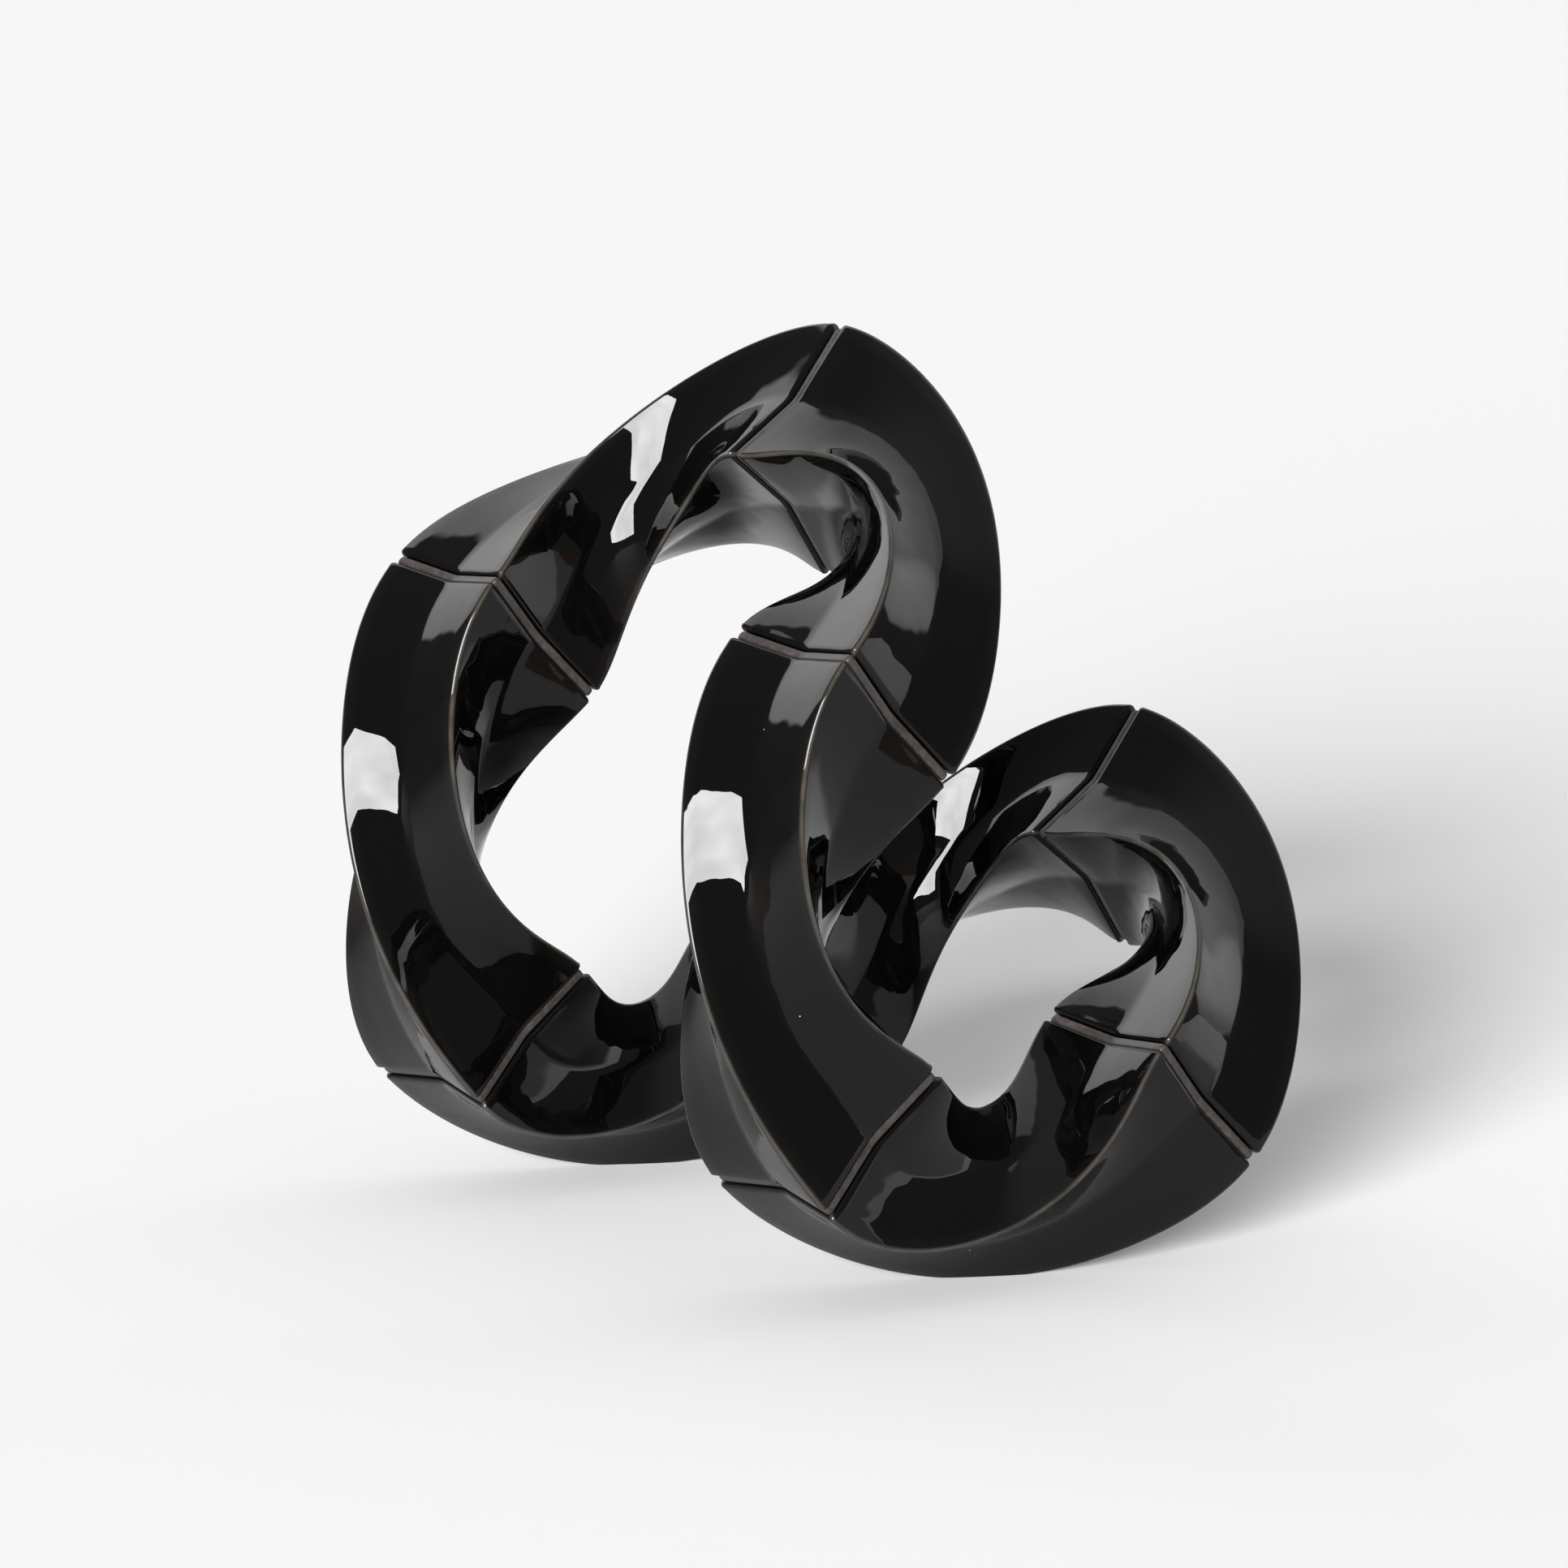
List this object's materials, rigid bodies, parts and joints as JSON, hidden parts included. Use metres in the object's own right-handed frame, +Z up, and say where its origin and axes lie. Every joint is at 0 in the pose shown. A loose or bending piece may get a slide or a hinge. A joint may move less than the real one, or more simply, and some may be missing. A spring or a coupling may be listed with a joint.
{
  "type": "twisty snake puzzle",
  "caption": "Snake puzzle of equal twisted square-section bends on friction swivels, coiled so its two ends meet and standing on two ridge flats.",
  "frame": {"origin": "under the middle of the puzzle, on the surface it stands on", "axes": "+Z up; X runs across the two standing rings, along the line through the two ridge flats; +Y points from the tall front arch to the low rear arch"},
  "size_m": [0.105, 0.1262, 0.1259],
  "materials": {
    "black_glaze": "deep black gloss glaze, thinning to brown on the ridges",
    "seam_spacer": "satin grey-brown",
    "mouth_plate": "moulded satin black",
    "pin_steel": "turned",
    "spring_steel": "blued spring strip",
    "nut_brass": "machined",
    "magnet_plating": "nickel plated"
  },
  "bodies": {
    "link_1": {"link_1_shell": "black_glaze", "swivel_1_disc_spring": "spring_steel", "swivel_1_nut": "nut_brass", "swivel_1_pin": "pin_steel", "swivel_1_spacer": "seam_spacer", "swivel_1_tail_plate": "mouth_plate", "tail_cap": "mouth_plate", "tail_magnet": "magnet_plating"},
    "link_2": {"link_2_shell": "black_glaze", "swivel_1_head_plate": "mouth_plate", "swivel_2_disc_spring": "spring_steel", "swivel_2_nut": "nut_brass", "swivel_2_pin": "pin_steel", "swivel_2_spacer": "seam_spacer", "swivel_2_tail_plate": "mouth_plate"},
    "link_3": {"link_3_shell": "black_glaze", "swivel_2_head_plate": "mouth_plate", "swivel_3_disc_spring": "spring_steel", "swivel_3_nut": "nut_brass", "swivel_3_pin": "pin_steel", "swivel_3_spacer": "seam_spacer", "swivel_3_tail_plate": "mouth_plate"},
    "link_4": {"link_4_shell": "black_glaze", "swivel_3_head_plate": "mouth_plate", "swivel_4_disc_spring": "spring_steel", "swivel_4_nut": "nut_brass", "swivel_4_pin": "pin_steel", "swivel_4_spacer": "seam_spacer", "swivel_4_tail_plate": "mouth_plate"},
    "link_5": {"link_5_shell": "black_glaze", "swivel_4_head_plate": "mouth_plate", "swivel_5_disc_spring": "spring_steel", "swivel_5_nut": "nut_brass", "swivel_5_pin": "pin_steel", "swivel_5_spacer": "seam_spacer", "swivel_5_tail_plate": "mouth_plate"},
    "link_6": {"link_6_shell": "black_glaze", "swivel_5_head_plate": "mouth_plate", "swivel_6_disc_spring": "spring_steel", "swivel_6_nut": "nut_brass", "swivel_6_pin": "pin_steel", "swivel_6_spacer": "seam_spacer", "swivel_6_tail_plate": "mouth_plate"},
    "link_7": {"link_7_shell": "black_glaze", "swivel_6_head_plate": "mouth_plate", "swivel_7_disc_spring": "spring_steel", "swivel_7_nut": "nut_brass", "swivel_7_pin": "pin_steel", "swivel_7_spacer": "seam_spacer", "swivel_7_tail_plate": "mouth_plate"},
    "link_8": {"head_cap": "mouth_plate", "head_magnet": "magnet_plating", "link_8_shell": "black_glaze", "swivel_7_head_plate": "mouth_plate"}
  },
  "joints": [
    {"name": "swivel_1", "type": "hinge", "parent": "link_2", "child": "link_1", "pos_m": [-0.04, -0.03921, 0.02352], "axis": [0, 0.7071, -0.7071], "continuous": true},
    {"name": "swivel_2", "type": "hinge", "parent": "link_3", "child": "link_2", "pos_m": [-0.04, -0.03921, 0.08008], "axis": [0, -0.7071, -0.7071], "range_deg": [-240, 50]},
    {"name": "swivel_3", "type": "hinge", "parent": "link_4", "child": "link_3", "pos_m": [0, -0.01093, 0.10837], "axis": [-1, 0, 0], "range_deg": [0, 270]},
    {"name": "swivel_4", "type": "hinge", "parent": "link_5", "child": "link_4", "pos_m": [0.04, -0.03921, 0.08008], "axis": [0, 0.7071, 0.7071], "range_deg": [-55, 245]},
    {"name": "swivel_5", "type": "hinge", "parent": "link_6", "child": "link_5", "pos_m": [0.04, -0.03921, 0.02352], "axis": [0, -0.7071, 0.7071], "range_deg": [0, 270]},
    {"name": "swivel_6", "type": "hinge", "parent": "link_6", "child": "link_7", "pos_m": [0.04, 0.01735, 0.02352], "axis": [0, 0.7071, 0.7071], "range_deg": [-240, 50]},
    {"name": "swivel_7", "type": "hinge", "parent": "link_7", "child": "link_8", "pos_m": [0, 0.04564, 0.0518], "axis": [-1, 0, 0], "continuous": true}
  ]
}
